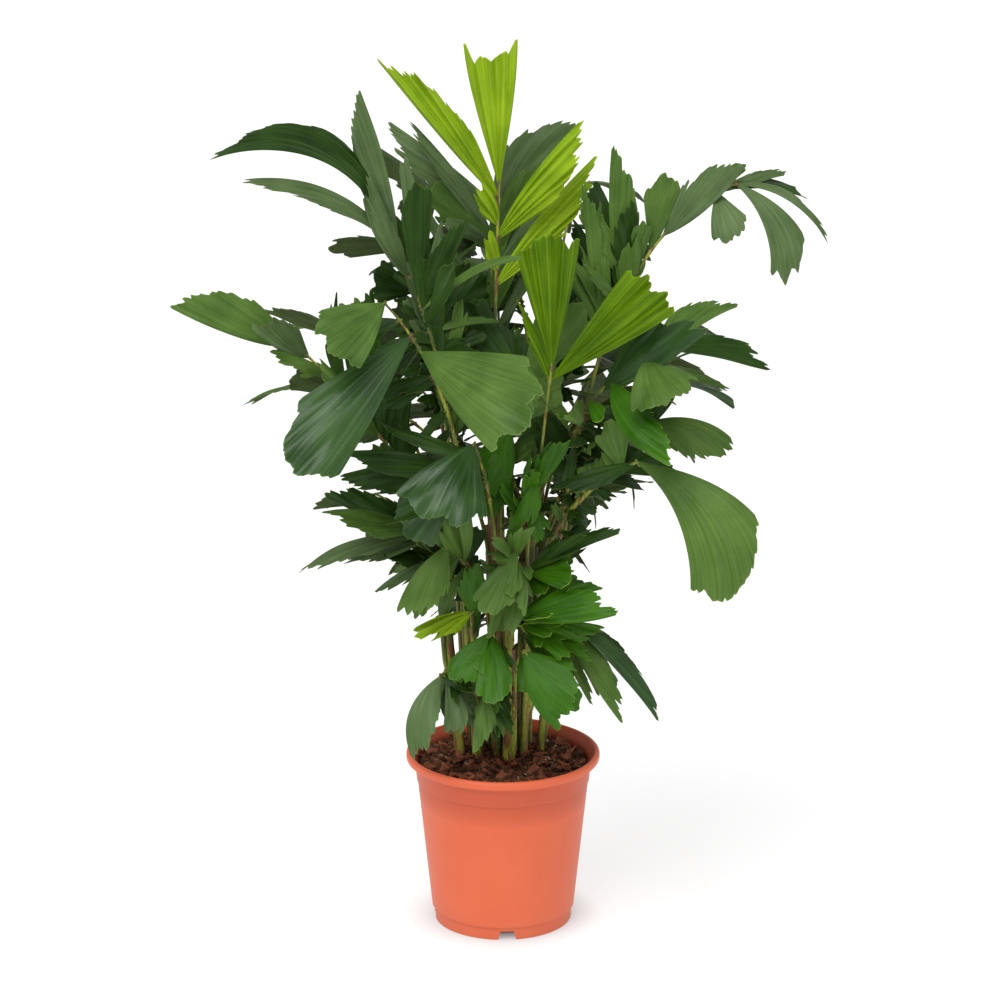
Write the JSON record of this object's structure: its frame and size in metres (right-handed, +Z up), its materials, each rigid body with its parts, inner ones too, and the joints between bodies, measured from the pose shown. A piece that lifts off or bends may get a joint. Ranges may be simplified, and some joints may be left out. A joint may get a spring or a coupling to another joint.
{
  "type": "potted clustering fishtail palm",
  "caption": "Clump of thin canes with arching fronds of toothed wedge-shaped leaflets, standing in a round tapered plastic nursery pot.",
  "frame": {"origin": "middle of the pot's flat underside, on the ground", "axes": "+Z up, -Y towards the front of the picture, +X to its right"},
  "size_m": [0.8263, 0.6953, 1.1581],
  "materials": {
    "pot": "terracotta orange moulded plastic, satin",
    "soil": "dark brown bark mulch over potting soil, rough",
    "cane": "brown and green ringed cane with dry sheath fibres",
    "leaf": "dark green pleated leaf, half gloss, paler and matt underneath",
    "young_leaf": "fresh yellow green pleated leaf, half gloss"
  },
  "bodies": {
    "root": {"pot": "pot", "soil": "soil", "cane_01": "cane", "cane_02": "cane", "cane_03": "cane", "cane_04": "cane", "cane_05": "cane", "cane_06": "cane", "cane_07": "cane", "cane_08": "cane", "cane_09": "cane", "cane_10": "cane", "cane_11": "cane", "cane_12": "cane", "cane_13": "cane", "cane_14": "cane", "frond_spear": "young_leaf", "frond_young": "young_leaf", "frond_upper_left": "leaf", "frond_upright_left": "leaf", "frond_front_left": "leaf", "frond_far_left": "leaf", "frond_glossy": "leaf", "frond_right_arch": "leaf", "frond_right_mid": "leaf", "frond_right_low": "leaf", "frond_right_droop": "leaf", "frond_left_low": "leaf", "frond_left_front": "leaf", "frond_right_front": "leaf", "frond_front_mid": "leaf", "frond_low_right": "leaf", "frond_centre": "leaf", "frond_centre_right": "leaf", "frond_bright_small": "young_leaf", "frond_low_bright": "young_leaf", "frond_low_centre": "leaf", "frond_low_fan": "leaf", "frond_low_right_arch": "leaf", "frond_low_left": "leaf", "frond_lowest": "leaf", "frond_behind_spear": "leaf", "frond_dark_right": "leaf", "frond_dark_left": "leaf", "frond_back_high_right": "leaf", "frond_back_high_left": "leaf", "frond_back_arch": "leaf", "frond_back_centre": "leaf", "frond_back_right": "leaf", "frond_back_left": "leaf", "frond_side_right": "leaf", "frond_side_left": "leaf", "frond_back_mid_right": "leaf", "frond_back_mid_left": "leaf", "frond_back_low": "leaf", "frond_back_low_right": "leaf", "frond_back_low_left": "leaf", "frond_back_foot_right": "leaf", "frond_back_foot_left": "leaf", "frond_side_low_right": "leaf"}
  },
  "joints": []
}
